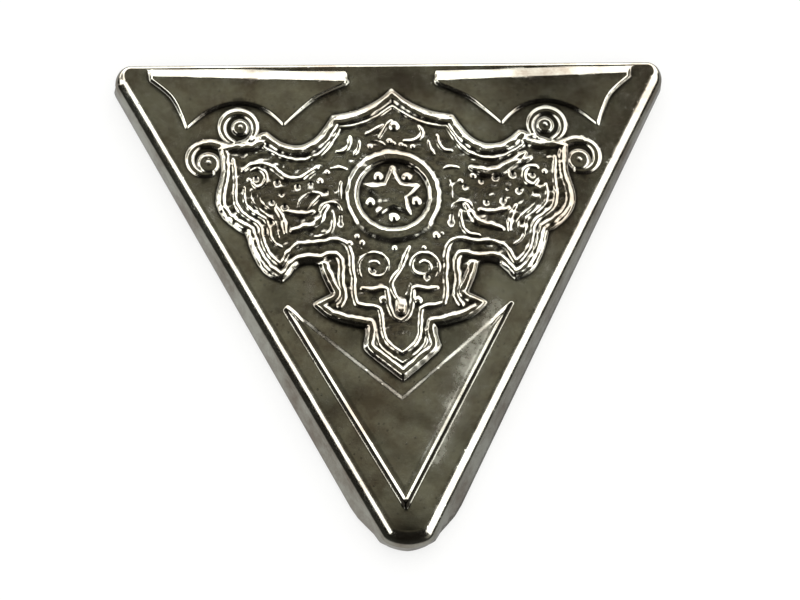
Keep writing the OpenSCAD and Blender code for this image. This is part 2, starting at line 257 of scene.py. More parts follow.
# Ridges that only one side has. Columns as above
SINGLE_RIDGES = [
    # third contour along the top of the right wing and of the left wing
    (0.56, 0.3, [(6.3, 11.5, 0), (7, 11.22, 0), (7.8, 11.02, 0), (8.6, 11.1, 0), (9.3, 11.5, 0),
                 (10.1, 12.0, 0), (10.9, 12.7, 0)]),
    (0.34, 0.4, [(9.5, 11.6, 0), (10.3, 11.9, 0), (11.35, 12.3, 0)]),
    (0.32, 0.4, [(-12.6, 11.37, 0), (-11.9, 11.87, 0), (-11.2, 11.95, 0), (-10.4, 11.77, 0),
                 (-9.8, 11.32, 0), (-9.2, 10.83, 0), (-8.5, 10.58, 0), (-7.8, 10.68, 0),
                 (-7.2, 11.07, 0), (-6.4, 11.62, 0)]),
    # crest: two leaf strokes on the left, a curl on the right
    (0.24, 0.3, [(-2.35, 14.51, 0), (-1.6, 14.86, 0), (-0.8, 15.36, 0)]),
    (0.22, 0.3, [(-1.25, 14.11, 0), (-0.85, 14.76, 0), (-0.45, 15.41, 0), (-0.1, 15.76, 0)]),
    (0.18, 0.3, [(-1.95, 14.01, 0), (-1.3, 13.86, 0), (-0.75, 13.57, 0)]),
    (0.26, 0.4, [(0.85, 13.91, 0), (1.5, 13.88, 0), (2.1, 14.11, 0), (2.38, 14.66, 0),
                 (2.15, 15.21, 0)]),
    # stem that rises from the drop's leaf
    (0.26, 0.3, [(0.95, 4.6, 0), (0.62, 3.9, 0), (0.3, 3.1, 0), (0.02, 2.4, 0)]),
    # outlines of the drop's leaf
    (0.26, 0.5, [(0.05, 2.5, 0), (-0.38, 2, 0), (-0.68, 1.4, 0), (-0.58, 0.75, 0),
                 (-0.3, 0.15, 0)]),
    (0.18, 0.4, [(0.9, 1.35, 0), (0.78, 0.85, 0), (0.5, 0.3, 0)]),
    # oval leaf of the left wing
    (0.2, 0.4, [(-8.15, 8.04, 0), (-7.9, 8.73, 0), (-7.1, 9.33, 0), (-6.2, 9.23, 0),
                (-6.7, 8.58, 0), (-7.3, 7.94, 0)]),
    (0.18, 0.4, [(-10.05, 8.58, 0), (-9.9, 7.89, 0), (-9.35, 7.49, 0)]),
]

# Spirals. Columns: half width, centre x, centre y, first and last radius,
# first and last angle in degrees
SPIRALS = [
    (0.42, 12.85, 15.26, 1.36, 1.36, 232, -70),
    (0.42, -12.85, 15.26, 1.36, 1.36, -52, 250),
    (0.42, 15.6, 12.47, 1.36, 1.3, 85, -112),
    (0.42, -15.6, 12.47, 1.36, 1.3, 95, 292),
    (0.17, -1.9, 2.85, 1.5, 0.35, 215, -320),
    (0.2, 2, 2.85, 1.4, 0.35, -40, 480)]

# Flat balls of the right half's scrolls with a knob in the middle. Columns: x, y, radius
SCROLL_BALLS = [(12.7, 15.25, 0.76), (15.4, 12.12, 1.0)]
BALL_H = 0.2
KNOB_R = 0.26
KNOB_H = 0.05

# Domes. Columns: x, y, radius
DOMES = [
    (-1.35, -0.08, 0.42), (1.45, -0.13, 0.4), (12.45, 11.07, 0.26), (-12.1, 10.58, 0.22),
    (0.05, 15.21, 0.48), (5.4, 10.28, 0.26), (6.5, 10.73, 0.3), (-0.35, 13.91, 0.24),
    (0, 13.68, 0.2), (0.6, 13.57, 0.22), (0.92, 13.42, 0.2), (1.55, 13.37, 0.24),
    (-2.0, 13.42, 0.22), (-6.25, 10.43, 0.3), (-5.6, 11.17, 0.2), (-3.95, 4.9, 0.24),
    (-2.95, 4.95, 0.26), (-0.3, 4.45, 0.24), (3.2, 5.5, 0.3), (3.7, 5.69, 0.18),
    (2.15, 4.45, 0.2), (-3.35, 5.5, 0.22)]

# Punched dots, sunk into the field. Columns: x, y, radius
PITS = [
    (8.35, 10.58, 0.36), (9.78, 10.83, 0.36), (10.25, 9.38, 0.34), (8.9, 8.5, 0.34),
    (7.5, 8.38, 0.28), (7.15, 10.23, 0.26), (9.3, 9.58, 0.16), (5.75, 9.83, 0.22),
    (4.5, 6.69, 0.34), (-4.65, 6.64, 0.3), (-9.78, 10.28, 0.34), (-8.1, 9.93, 0.3),
    (-9.2, 8.14, 0.36), (-10.25, 8.58, 0.28), (-9.45, 9.23, 0.16), (-7, 10.18, 0.26),
    (11.45, 10.78, 0.3), (-11.5, 10.68, 0.3), (-5.7, 9.48, 0.14), (-5, 9.48, 0.14),
    (2.3, 1.86, 0.3), (-2.2, 2.51, 0.3)]
# Depth of a dot over its radius
PIT_DEPTH = 0.4

# The drop, which rises from its upper end, at DROP_TOP_Y, over DROP_RISE. Columns: x, y
DROP = [(0.05, -0.05), (0.05, -0.95)]
DROP_HALF_WIDTH = 0.5
DROP_H = 0.26
DROP_TOP_Y = 0.25
DROP_RISE = 1.15

# Tails of the two drop-shaped pits beside the ring
PIT_TAILS = [[(4.5, 6.89, 0), (4.58, 7.39, 0)], [(-4.65, 6.84, 0), (-4.6, 7.39, 0)]]
PIT_TAIL_HALF_WIDTH = 0.16
PIT_TAIL_DEPTH = 0.08

# Tarnished places. Columns: x, y, radius, strength
TARNISH = [
    (12.6, 18.4, 4.2, 0.5), (-0.1, -20, 1.6, 0.9), (0, 19.9, 3.4, 0.3), (-3.9, -2.9, 1.2, 0.45),
    (3.9, -3.2, 1.4, 0.45), (-6.1, -9.2, 1.5, 0.4), (-10, 0.6, 1.3, 0.35), (15.6, 9.6, 1.6, 0.3),
    (5.6, -12, 1.4, 0.3), (-15.6, 10.6, 1.1, 0.4)]

# Hazy streaks. Each row: half width, strength, points with x, y
HAZE = [
    (2.3, 1, [(7.8, -0.6), (5.5, -5.5), (2.3, -13.5)]),
    (1, 0.7, [(-15.7, 9.8), (-15, 6.8)]),
    (0.8, 0.5, [(-7.3, 2.2), (-7.1, -0.2)]),
    (1, 0.4, [(13.2, 4.6), (11.9, 2)])]


def smooth_curve(rows, steps=6):
    """A curve through rows of x, y, sharp. Where sharp is 1 it turns a corner."""
    points = [np.array(r[:2], float) for r in rows]
    out = []
    for i in range(len(rows) - 1):
        b, c = points[i], points[i + 1]
        a = b if i == 0 or rows[i][2] else points[i - 1]
        d = c if i == len(rows) - 2 or rows[i + 1][2] else points[i + 2]
        for k in range(steps):
            u = k / steps
            out.append((2 * b + (c - a) * u + (2 * a - 5 * b + 4 * c - d) * u * u
                        + (3 * b - a - 3 * c + d) * u ** 3) / 2)
    return np.array(out + [points[-1]])


def mirrored(path):
    return path * np.array([-1.0, 1.0])


def both_halves(path):
    """A closed outline from its right half, which runs from the top to the bottom."""
    return np.vstack([path, mirrored(path)[-2:0:-1]])


def smoothstep(t):
    t = np.clip(t, 0, 1)
    return t * t * (3 - 2 * t)


def lies_inside(closed, x, y):
    """Which places lie inside an outline whose last point is its first."""
    inside = np.zeros(x.shape, bool)
    for (ax, ay), (bx, by) in zip(closed[:-1], closed[1:]):
        if ay != by:
            inside ^= ((ay > y) != (by > y)) & (x < ax + (y - ay) * (bx - ax) / (by - ay))
    return inside


class Relief:
    """Heights of the pressed sheet above its plain face, on a fine grid over the plate.

    Bumps holds the sum of all ridges and domes, each to the power BLEND, which melts them
    together. Faint holds the step that the mesh has to follow more closely.
    """

    STEP = 0.05
    BLEND = 6

    def __init__(self):
        half = side_x(TOP_Y) + 1
        self.xs = np.arange(-half, half + self.STEP, self.STEP)
        self.ys = np.arange(-TOP_Y - 1, TOP_Y + 1 + self.STEP, self.STEP)
        self.x, self.y = np.meshgrid(self.xs, self.ys)
        self.bumps = np.zeros_like(self.x)
        self.height = np.zeros_like(self.x)
        self.tarnish_and_shade = np.zeros_like(self.x)
        self.haze = np.zeros_like(self.x)
        self.faint = np.zeros_like(self.x)

    def window(self, low, high):
        """The slices of the grid between two corners."""
        i0, i1 = np.searchsorted(self.xs, (low[0], high[0]))
        j0, j1 = np.searchsorted(self.ys, (low[1], high[1]))
        return slice(j0, j1), slice(i0, i1)

    def stroke_share(self, path, half_width, ends):
        """Distance to a path over the half width there, which narrows to ends at both ends."""
        share = np.ones_like(self.x)
        run = np.r_[0, np.cumsum(np.hypot(*np.diff(path, axis=0).T))]
        along = run / run[-1]
        widths = half_width * (ends + (1 - ends) * np.sin(np.pi * along) ** 0.6)
        widths = np.maximum(widths, 0.3 * half_width)
        for a, b, wa, wb in zip(path[:-1], path[1:], widths[:-1], widths[1:]):
            at = self.window(np.minimum(a, b) - half_width, np.maximum(a, b) + half_width)
            d = b - a
            px, py = self.x[at] - a[0], self.y[at] - a[1]
            u = np.clip((px * d[0] + py * d[1]) / max(d @ d, 1e-12), 0, 1)
            gap = np.hypot(px - u * d[0], py - u * d[1])
            share[at] = np.minimum(share[at], gap / (wa + (wb - wa) * u))
        return share

    def add_bump(self, half_width, share):
        """A ridge with sloping flanks and a flatter crest, melted into those it meets."""
        thin = np.clip((0.5 - half_width) / 0.3, 0, 1)
        sloping = SLOPING + (SLOPING_THIN - SLOPING) * thin
        self.raise_to(RISE * half_width, smoothstep((1 - share) / sloping))

    def add_dome(self, x, y, radius, sloping=SLOPING):
        share = np.hypot(self.x - x, self.y - y) / radius
        self.raise_to(RISE * radius, smoothstep((1 - share) / sloping))

    def raise_to(self, height, share):
        self.bumps += (height * share) ** self.BLEND

    def depth_inside(self, outline, reach):
        """Distance inside a closed outline, up to reach, and its negative outside."""
        closed = np.vstack([outline, outline[:1]])
        gap = self.stroke_share(closed, reach, 1) * reach
        inside = np.zeros(self.x.shape, bool)
        at = self.window(outline.min(0), outline.max(0))
        inside[at] = lies_inside(closed, self.x[at], self.y[at])
        return np.where(inside, gap, -gap)


def cartouche(relief):
    """The raised field of the cartouche with its ridges, strokes, balls and dots."""
    edge = both_halves(smooth_curve(CARTOUCHE_EDGE, 5))
    depth = relief.depth_inside(edge, 0.8)
    # The edge of the right wing is steeper than the rest
    steep = smoothstep(relief.x - 9) * smoothstep((13.4 - relief.y) / 0.5)
    edge_width = FIELD_EDGE_W + (FIELD_STEEP_W - FIELD_EDGE_W) * steep
    inside = smoothstep((depth + EDGE_OUT) / edge_width)
    in_wing = smoothstep((np.abs(relief.x) - 4.5) / 1.5)
    uneven = UNEVEN_MIDDLE + (UNEVEN_WING - UNEVEN_MIDDLE) * in_wing
    field = inside * (FIELD_H + uneven * ripples(relief, 1, 0.8, 5))
    for width, ends, rows in RIDGES:
        path = smooth_curve(rows)
        for side in (path, mirrored(path)):
            relief.add_bump(width, relief.stroke_share(side, width, ends))
    for width, ends, rows in SINGLE_RIDGES:
        relief.add_bump(width, relief.stroke_share(smooth_curve(rows), width, ends))
    for width, cx, cy, r0, r1, a0, a1 in SPIRALS:
        u = np.linspace(0, 1, 40)
        angle = np.radians(a0 + (a1 - a0) * u)
        radius = r0 + (r1 - r0) * u
        path = np.c_[cx + radius * np.cos(angle), cy + radius * np.sin(angle)]
        relief.add_bump(width, relief.stroke_share(path, width, 0.6))
    for x, y, radius in SCROLL_BALLS:
        for side in (x, -x):
            away = np.hypot(relief.x - side, relief.y - y)
            share = away / radius
            relief.raise_to(BALL_H, smoothstep((1 - share) / 0.3) * (1 - 0.16 * share ** 2))
            field = field + KNOB_H * smoothstep((1 - away / KNOB_R) / 0.8)
    for dome in DOMES:
        relief.add_dome(*dome)
    drop = smoothstep((1 - relief.stroke_share(np.array(DROP), DROP_HALF_WIDTH, 1)) / 0.5)
    relief.raise_to(DROP_H, drop * np.clip((DROP_TOP_Y - relief.y) / DROP_RISE, 0, 1))
    return field


def medallion(relief):
    """The ring, and in its sunken floor the star with a bead in each notch."""
    radius = np.hypot(relief.x - RING_X, relief.y - RING_Y)
    # Its outer flank is broader at the bottom
    bottom = smoothstep((RING_Y - 1.8 - relief.y) / 1.5)
    outside = (radius - RING_R) / (RING_OUT + 0.3 * bottom)
    inside = (RING_R - radius) / RING_IN
    relief.raise_to(RING_H, smoothstep((1 - np.maximum(outside, inside)) / SLOPING))
    floor = -RING_FLOOR_DEPTH * smoothstep((RING_R - 0.15 - radius) / 0.42)
    turns = np.radians(90 + 36 * np.arange(10))
    reach = np.where(np.arange(10) % 2 == 0, STAR_R, STAR_NOTCH_R)
    outline = np.c_[RING_X + reach * np.cos(turns), STAR_Y + reach * np.sin(turns)]
    depth = relief.depth_inside(outline, 0.5)
    for turn in turns[1::2]:
        relief.add_dome(RING_X + BEAD_REACH * math.cos(turn), RING_Y + BEAD_REACH * math.sin(turn),
                        BEAD_R, 0.9)
    relief.add_dome(RING_X + 0.05, RING_Y + STAR_R - 0.05, TOP_BEAD_R, 0.9)
    # The star's left flank is broad
    broad = smoothstep((RING_X - 0.7 - relief.x) / 0.5)
    return floor + STAR_H * smoothstep((depth + 0.1 + 0.2 * broad) / (0.36 + 0.26 * broad))


def ripples(relief, height, length, seed):
    """Shallow irregular waves about length apart, from a fixed seed."""
    rng = np.random.default_rng(seed)
    total = np.zeros_like(relief.x)
    for _ in range(14):
        turn, start = rng.uniform(0, 2 * math.pi, 2)
        step = 2 * math.pi / (length * rng.uniform(0.75, 1.5))
        total += np.sin(step * (relief.x * math.cos(turn) + relief.y * math.sin(turn)) + start)
    return height * total / math.sqrt(7)


def panels(relief):
    """The two corner panels, bevelled along the straight edge."""
    total = np.zeros_like(relief.x)
    corner = smooth_curve(CORNER_EDGE, 5)
    top = PANEL_LOW_H + (PANEL_HIGH_H - PANEL_LOW_H) * smoothstep((relief.y - 15) / 4.6)
    # The bevel lies lower and is broader towards the middle of the plate
    along = np.clip((np.abs(relief.x) - 4) / 16, 0, 1)
    bevel_end = FACE_END_Y - BEVEL_SETBACK * (1 - along)
    bevel_width = BEVEL_INNER_W + (BEVEL_OUTER_W - BEVEL_INNER_W) * along
    bevel = np.clip((bevel_end - relief.y) / bevel_width, 0, 1)
    for outline in (corner, mirrored(corner)):
        depth = relief.depth_inside(outline, 1.4)
        inside = smoothstep((depth + EDGE_OUT) / PANEL_EDGE_W)
        total = np.maximum(total, top * np.minimum(inside, bevel))
    return total


def chevron_panel(relief):
    """A faint step along the upper edges, and a ridge along the long ones with a black line of painted
    shade for a groove.
    """
    outline = np.array(CHEVRON_EDGE)
    depth = relief.depth_inside(outline, 1.2)
    long_edges = outline[1:4]
    long_edge = smoothstep((0.8 - relief.stroke_share(long_edges, 1, 1)) / 0.3)
    rise = np.clip((depth + 0.19) / 0.3, 0, 1)
    fall = np.clip((depth - 0.11) / 0.26, 0, 1)
    ridge = CHEVRON_RIDGE_H * rise - CHEVRON_RIDGE_FALL * fall
    step_height = STEP_H_LEFT + (STEP_H_RIGHT - STEP_H_LEFT) * np.clip((relief.x + 1) / 2, 0, 1)
    step = step_height * np.clip(depth / STEP_W + 0.5, 0, 1)
    relief.faint = step * (1 - long_edge)
    # Painted shade: a groove line and a round spot at the lower corner are painted black
    by_edge = relief.stroke_share(long_edges, 0.25, 1) < 1
    groove_shade = smoothstep((GROOVE_SHADE_HALF_WIDTH - np.abs(depth)) / 0.06) * by_edge
    corner_x, corner_y = outline[2]
    away = np.hypot(relief.x - corner_x, relief.y - corner_y - 0.28)
    spot = smoothstep((SHADE_SPOT_R - away) / 0.1)
    relief.tarnish_and_shade = np.maximum.reduce([relief.tarnish_and_shade, groove_shade, spot])
    return relief.faint + ridge * long_edge


def wear(relief):
    """Tarnished and hazy places."""
    for x, y, radius, strength in TARNISH:
        away = np.hypot(relief.x - x, relief.y - y) / radius
        relief.tarnish_and_shade = np.maximum(relief.tarnish_and_shade, strength * np.exp(-away ** 2))
    for half_width, strength, points in HAZE:
        share = relief.stroke_share(np.array(points), half_width, 0.7)
        relief.haze = np.maximum(relief.haze, strength * smoothstep(1 - share))


def pressed_relief():
    """The whole relief with its tarnish, painted shade and haze."""
    relief = Relief()
    flats = cartouche(relief) + medallion(relief)
    # The plate's waves die out towards its bends
    border = (side_x(relief.y) - np.abs(relief.x)) * math.cos(SIDE_ANGLE) - BEND_R
    border = np.minimum(border, FACE_END_Y - relief.y)
    waves = ripples(relief, WAVE_H, WAVE_LENGTH, 2) * smoothstep(border / 2.5)
    flats = np.maximum(flats, panels(relief)) + waves
    heights = flats + relief.bumps ** (1 / relief.BLEND)
    for x, y, radius in PITS:
        share = np.minimum(np.hypot(relief.x - x, relief.y - y) / radius, 1)
        heights -= PIT_DEPTH * radius * smoothstep((1 - share) / 0.8)
    for tail in PIT_TAILS:
        share = relief.stroke_share(smooth_curve(tail), PIT_TAIL_HALF_WIDTH, 0.4)
        heights -= PIT_TAIL_DEPTH * (1 - share ** 2)
    relief.height = soften(heights, SOFT / relief.STEP)
    # Painted shade: the hollows between the raised forms are painted dark
    hollow = soften(relief.height, HOLLOW_REACH / relief.STEP) - relief.height
    relief.tarnish_and_shade = HOLLOW_SHADE * smoothstep((hollow - 0.008) / 0.045)
    relief.height += soften(chevron_panel(relief), SOFT_CHEVRON / relief.STEP)
    wear(relief)
    return relief


def soften(grid, cells):
    """A Gaussian blur over the given number of grid cells."""
    reach = max(1, int(3 * cells))
    weights = np.exp(-0.5 * (np.arange(-reach, reach + 1) / cells) ** 2)
    weights /= weights.sum()
    for axis in (0, 1):
        padded = np.pad(grid, [(reach, reach) if k == axis else (0, 0) for k in (0, 1)], "edge")
        grid = sum(w * np.take(padded, range(k, k + grid.shape[axis]), axis)
                   for k, w in enumerate(weights))
    return grid


def sample(relief, grid, points):
    """The value of a grid at points, between its four nearest nodes."""
    u = (points[:, 0] - relief.xs[0]) / relief.STEP
    v = (points[:, 1] - relief.ys[0]) / relief.STEP
    i = np.clip(u.astype(int), 0, len(relief.xs) - 2)
    j = np.clip(v.astype(int), 0, len(relief.ys) - 2)
    s, t = u - i, v - j
    return ((grid[j, i] * (1 - s) + grid[j, i + 1] * s) * (1 - t)
            + (grid[j + 1, i] * (1 - s) + grid[j + 1, i + 1] * s) * t)


def detail_points(relief, grid, tolerance, levels=6):
    """Grid nodes, close together where the surface curves and far apart where it is flat."""
    size = 2 ** levels
    grid = np.pad(grid, [(0, -(n - 1) % size) for n in grid.shape], "edge")
    keep = np.zeros(grid.shape, bool)
    open_cells = [(j, i) for j in range(0, grid.shape[0] - 1, size)
                  for i in range(0, grid.shape[1] - 1, size)]
    while size >= 1 and open_cells:
        u = np.linspace(0, 1, size + 1)
        rest = []
        for j, i in open_cells:
            block = grid[j:j + size + 1, i:i + size + 1]
            if size > 1:
                left = block[0, 0] + (block[-1, 0] - block[0, 0]) * u
                right = block[0, -1] + (block[-1, -1] - block[0, -1]) * u
                plane = left[:, None] + (right - left)[:, None] * u
                if np.abs(block - plane).max() > tolerance:
                    half = size // 2
                    rest += [(j, i), (j + half, i), (j, i + half), (j + half, i + half)]
                    continue
            keep[[j, j, j + size, j + size], [i, i + size, i, i + size]] = True
        open_cells = rest
        size //= 2
    j, i = np.nonzero(keep)
    return np.c_[relief.xs[0] + i * relief.STEP, relief.ys[0] + j * relief.STEP]


def stations():
    """Rows round the outline, clockwise from the middle of the straight edge.

    Each row: point, direction outwards, flare of the wall's foot and radius of the bend.
    """
    corner_cx = side_x(CORNER_CY) - CORNER_R / math.cos(SIDE_ANGLE)
    side = (math.cos(SIDE_ANGLE), -math.sin(SIDE_ANGLE))
    rows = [(x, TOP_Y, 0.0, 1.0, FLARE_TOP, TOP_BEND_R) for x in np.linspace(0, corner_cx, 24)]
    # The corner's arc has a row where the mouth ends
    mouth = -math.asin((CORNER_CY - MOUTH_Y) / CORNER_R)
    turns = [*np.linspace(math.pi / 2, mouth, 12)[1:], *np.linspace(mouth, -SIDE_ANGLE, 4)[1:]]
    for a in turns:
        share = smoothstep((math.pi / 2 - a) / (math.pi / 2 + SIDE_ANGLE))
        rows.append((corner_cx + CORNER_R * math.cos(a), CORNER_CY + CORNER_R * math.sin(a),
                     math.cos(a), math.sin(a), FLARE_TOP,
                     TOP_BEND_R + (BEND_R - TOP_BEND_R) * share))
    y_end = rows[-1][1]
    for y in np.linspace(y_end, FLARE_END[0][0], 40)[1:]:
        share = (y_end - y) / (y_end - FLARE_END[0][0])
        rows.append((side_x(y), y, *side, FLARE_TOP + (FLARE_LOW - FLARE_TOP) * share, BEND_R))
    for y, share in FLARE_END[1:]:
        rows.append((side_x(y), y, *side, share * FLARE_LOW, BEND_R))
    for a in [*np.linspace(SIDE_ANGLE, POINT_TURN, 9)[:-1], *np.linspace(POINT_TURN, math.pi / 2, 9)]:
        foot = np.interp((math.pi / 2 - a) / (math.pi / 2 - SIDE_ANGLE), *zip(*POINT_FOOT))
        radius, turn = (POINT_R, a) if a >= POINT_TURN else (POINT_CORNER_R, POINT_TURN)
        cx = (POINT_R - radius) * math.cos(turn)
        cy = POINT_CY - (POINT_R - radius) * math.sin(turn)
        rows.append((cx + radius * math.cos(a), cy - radius * math.sin(a), math.cos(a),
                     -math.sin(a), foot, BEND_R))
    right = np.array(rows, float)
    left = right[-2:0:-1] * np.array([-1, 1, -1, 1, 1, 1])
    return np.vstack([right, left])


def section(rows, grow, share, z):
    """One closed loop of the wall: the outline grown by grow, with a share of the flare."""
    out = np.asarray(grow) + share * rows[:, 4]
    return np.c_[rows[:, 0] + out * rows[:, 2], rows[:, 1] + out * rows[:, 3],
                 np.broadcast_to(z, len(rows))]


def add_bend(sheet, rows, top, inset, steps, sign):
    """Loops from the face out over the bend, inside the outline by inset.

    Sign is 1 for the outer side of the sheet and -1 for its inner side.
    """
    radius = rows[:, 5] - inset
    loops = []
    for a in np.linspace(0, BEND_END, steps + 1):
        points = section(rows, -inset - radius * (math.sin(BEND_END) - math.sin(a)), 0,
                         top - radius * (1 - math.cos(a)))
        normals = np.c_[math.sin(a) * rows[:, 2:4], np.full(len(rows), math.cos(a))]
        loops.append(sheet.add(points, sign * normals))
    return loops


def wall_share(rows, z, radius, top):
    """How much of the flare the wall has at height z."""
    start = top - radius * (1 - math.cos(BEND_END))
    return np.clip((start - z) / (start - FOOT_R), 0, 1)


class Sheet:
    """Collects the corners and faces of the closed sheet.

    Normals and wear, which is tarnish with painted shade, and haze, are kept by the corner's number.
    """

    def __init__(self):
        self.corners = []
        self.faces = []
        self.normals = {}
        self.wear = {}

    def add(self, points, normals=()):
        start = len(self.corners)
        self.corners.extend(map(tuple, points))
        self.normals.update((start + k, tuple(n)) for k, n in enumerate(normals))
        return list(range(start, start + len(points)))

    def strip(self, one, two, closed=True):
        """Quads between two rows of corners."""
        n = len(one)
        for i in range(n if closed else n - 1):
            k = (i + 1) % n
            self.faces.append((one[i], one[k], two[k], two[i]))

    def plane(self, loop, flip=False):
        """A flat face over a loop of corners, which may be hollow in outline."""
        for tri in tessellate_polygon([[Vector(self.corners[i]) for i in loop]]):
            a, b, c = (Vector(self.corners[loop[i]]) for i in tri)
            if (b - a).cross(c - a).length < 1e-9:
                continue
            up = (b - a).cross(c - a).z > 0
            order = tri if up != flip else tri[::-1]
            self.faces.append(tuple(loop[i] for i in order))


def cover(sheet, relief, loop, grid, base, tolerance, clearance, upwards):
    """Fills a loop with a triangulated surface that follows the grid's heights."""
    edge = np.array([sheet.corners[i] for i in loop])[:, :2]
    # The top's mesh is finer where the tarnish and painted shade end sharply and along faint steps
    finer = (TARNISH_AND_SHADE_DETAIL * relief.tarnish_and_shade + relief.faint) * upwards
    points = detail_points(relief, grid + finer, tolerance)
    points = points[points_inside(points, edge, clearance)]
    corners = [Vector(p) for p in np.vstack([edge, points])]
    flat, _, faces, origins, _, _ = delaunay_2d_cdt(
        corners, [], [list(range(len(edge)))], 1, 1e-6)
    flat = np.array([tuple(p) for p in flat])
    z = base + sample(relief, grid, flat)
    known = {}
    for new, old in enumerate(origins):
        for o in old:
            if o < len(edge):
                known[new] = loop[o]
    slope_x = np.gradient(grid, relief.STEP, axis=1)
    slope_y = np.gradient(grid, relief.STEP, axis=0)
    dx, dy = sample(relief, slope_x, flat), sample(relief, slope_y, flat)
    length = np.sqrt(1 + dx * dx + dy * dy)
    sign = 1 if upwards else -1
    worn_and_shaded = np.c_[sample(relief, relief.tarnish_and_shade, flat), sample(relief, relief.haze, flat)]
    index = []
    for k, (x, y) in enumerate(flat):
        if k in known:
            index.append(known[k])
        else:
            index.append(len(sheet.corners))
            sheet.corners.append((x, y, z[k]))
            sheet.normals[index[-1]] = (-sign * dx[k] / length[k], -sign * dy[k] / length[k],
                                        sign / length[k])
        if upwards:
            sheet.wear[index[-1]] = tuple(worn_and_shaded[k])
    for f in faces:
        face = tuple(index[i] for i in f)
        sheet.faces.append(face if upwards else face[::-1])


def points_inside(points, edge, clearance):
    """Which points lie inside a loop by more than clearance."""
    near = np.full(len(points), np.inf)
    closed = np.vstack([edge, edge[:1]])
    x, y = points.T
    for (ax, ay), (bx, by) in zip(closed[:-1], closed[1:]):
        dx, dy = bx - ax, by - ay
        u = np.clip(((x - ax) * dx + (y - ay) * dy) / (dx * dx + dy * dy), 0, 1)
        near = np.minimum(near, np.hypot(x - ax - u * dx, y - ay - u * dy))
    return lies_inside(closed, x, y) & (near > clearance)


def flange_rim():
    """The edge of the open back, from the right mouth down to the point and up to the left."""
    edge = SIDE_AT_MIDDLE + FLARE_TOP - FLANGE_W / math.cos(SIDE_ANGLE)
    slope = math.tan(SIDE_ANGLE)
    apex = -edge / slope
    # A round of the flange radius between the two straight edges
    cy = apex + FLANGE_R / math.sin(SIDE_ANGLE)
    right = [(edge + slope * y, y) for y in np.linspace(MOUTH_Y, cy - FLANGE_R * slope, 12)]
    arc = [(FLANGE_R * math.cos(a), cy + FLANGE_R * math.sin(a))
           for a in np.linspace(-SIDE_ANGLE, -math.pi / 2, 7)]
    half = np.array(right[:-1] + arc)
    return np.vstack([half, mirrored(half)[-2::-1]])


def build_sheet(relief):
    """The closed sheet: bends, walls, flanges, lip, and the two sides of the face."""
    rows = stations()
    sheet = Sheet()
    mouth = int(np.argmin(np.abs(rows[:len(rows) // 2, 1] - MOUTH_Y)))
    count = len(rows)
    low = list(range(mouth, count - mouth + 1))
    high = list(range(count - mouth, count)) + list(range(0, mouth + 1))

    outer = add_bend(sheet, rows, FACE_Z, 0, 14, 1)
    lip_share = wall_share(rows, LIP_Z, BEND_R, FACE_Z)
    outer.append(sheet.add(section(rows, 0, lip_share, LIP_Z)))
    for one, two in zip(outer[:-1], outer[1:]):
        sheet.strip(one, two)
    inner = add_bend(sheet, rows, FACE_Z - SHEET, SHEET, 6, -1)
    inner.append(sheet.add(section(rows, -SHEET, lip_share, LIP_Z)))
    for one, two in zip(inner[:-1], inner[1:]):
        sheet.strip(two, one)

    below = rows[low]
    outer_low = [[outer[-1][i] for i in low]]
    for a in np.linspace(0, math.pi / 2, 6):
        drop = FOOT_R * math.sin(a)
        outer_low.append(sheet.add(section(below, -FOOT_R * (1 - math.cos(a)), 1, FOOT_R - drop)))
    for one, two in zip(outer_low[:-1], outer_low[1:]):
        sheet.strip(one, two, False)
    inner_low = [[inner[-1][i] for i in low],
                 sheet.add(section(below, -SHEET, 1, SHEET + INNER_CHAMFER)),
                 sheet.add(section(below, -SHEET - INNER_CHAMFER, 1, SHEET))]
    for one, two in zip(inner_low[:-1], inner_low[1:]):
        sheet.strip(two, one, False)

    rim = flange_rim()
    rim_low = sheet.add(np.c_[rim, np.zeros(len(rim))])
    rim_high = sheet.add(np.c_[rim, np.full(len(rim), SHEET)])
    sheet.plane(outer_low[-1] + rim_low[::-1], flip=True)
    sheet.plane(inner_low[-1] + rim_high[::-1])
    sheet.strip(rim_low, rim_high, False)

    # The rim of the lip, and the two ends of the walls at the mouth
    sheet.strip([outer[-1][i] for i in high], [inner[-1][i] for i in high], False)
    around = outer_low + [rim_low, rim_high] + inner_low[::-1]
    sheet.faces.append(tuple(row[0] for row in around))
    sheet.faces.append(tuple(row[-1] for row in around[::-1]))

    cover(sheet, relief, outer[0], relief.height, FACE_Z, TOP_TOLERANCE, TOP_CLEARANCE, True)
    back = soften(relief.height, SOFT_BACK / relief.STEP) * BACK_SHARE
    cover(sheet, relief, inner[0], back, FACE_Z - SHEET, BACK_TOLERANCE, BACK_CLEARANCE, False)
    return sheet


def mesh_object(name, sheet):
    """The sheet as a mesh in metres, with its wear and painted shade as a colour layer."""
    mesh = bpy.data.meshes.new(name)
    mesh.from_pydata([tuple(c * MM for c in p) for p in sheet.corners], [], sheet.faces)
    mesh.validate()
    mesh.shade_smooth()
    mesh.set_sharp_from_angle(angle=SHARP_ANGLE)
    normals = [sheet.normals.get(i, (0, 0, 0)) for i in range(len(mesh.vertices))]
    mesh.normals_split_custom_set_from_vertices(normals)
    worn_and_shaded = np.zeros((len(mesh.vertices), 4))
    worn_and_shaded[list(sheet.wear), :2] = list(sheet.wear.values())
    # The wear layer holds tarnish with painted shade in red and haze in green
    layer = mesh.color_attributes.new("wear", "FLOAT_COLOR", "POINT")
    layer.data.foreach_set("color", worn_and_shaded.ravel())
    obj = bpy.data.objects.new(name, mesh)
    bpy.context.scene.collection.objects.link(obj)
    return obj


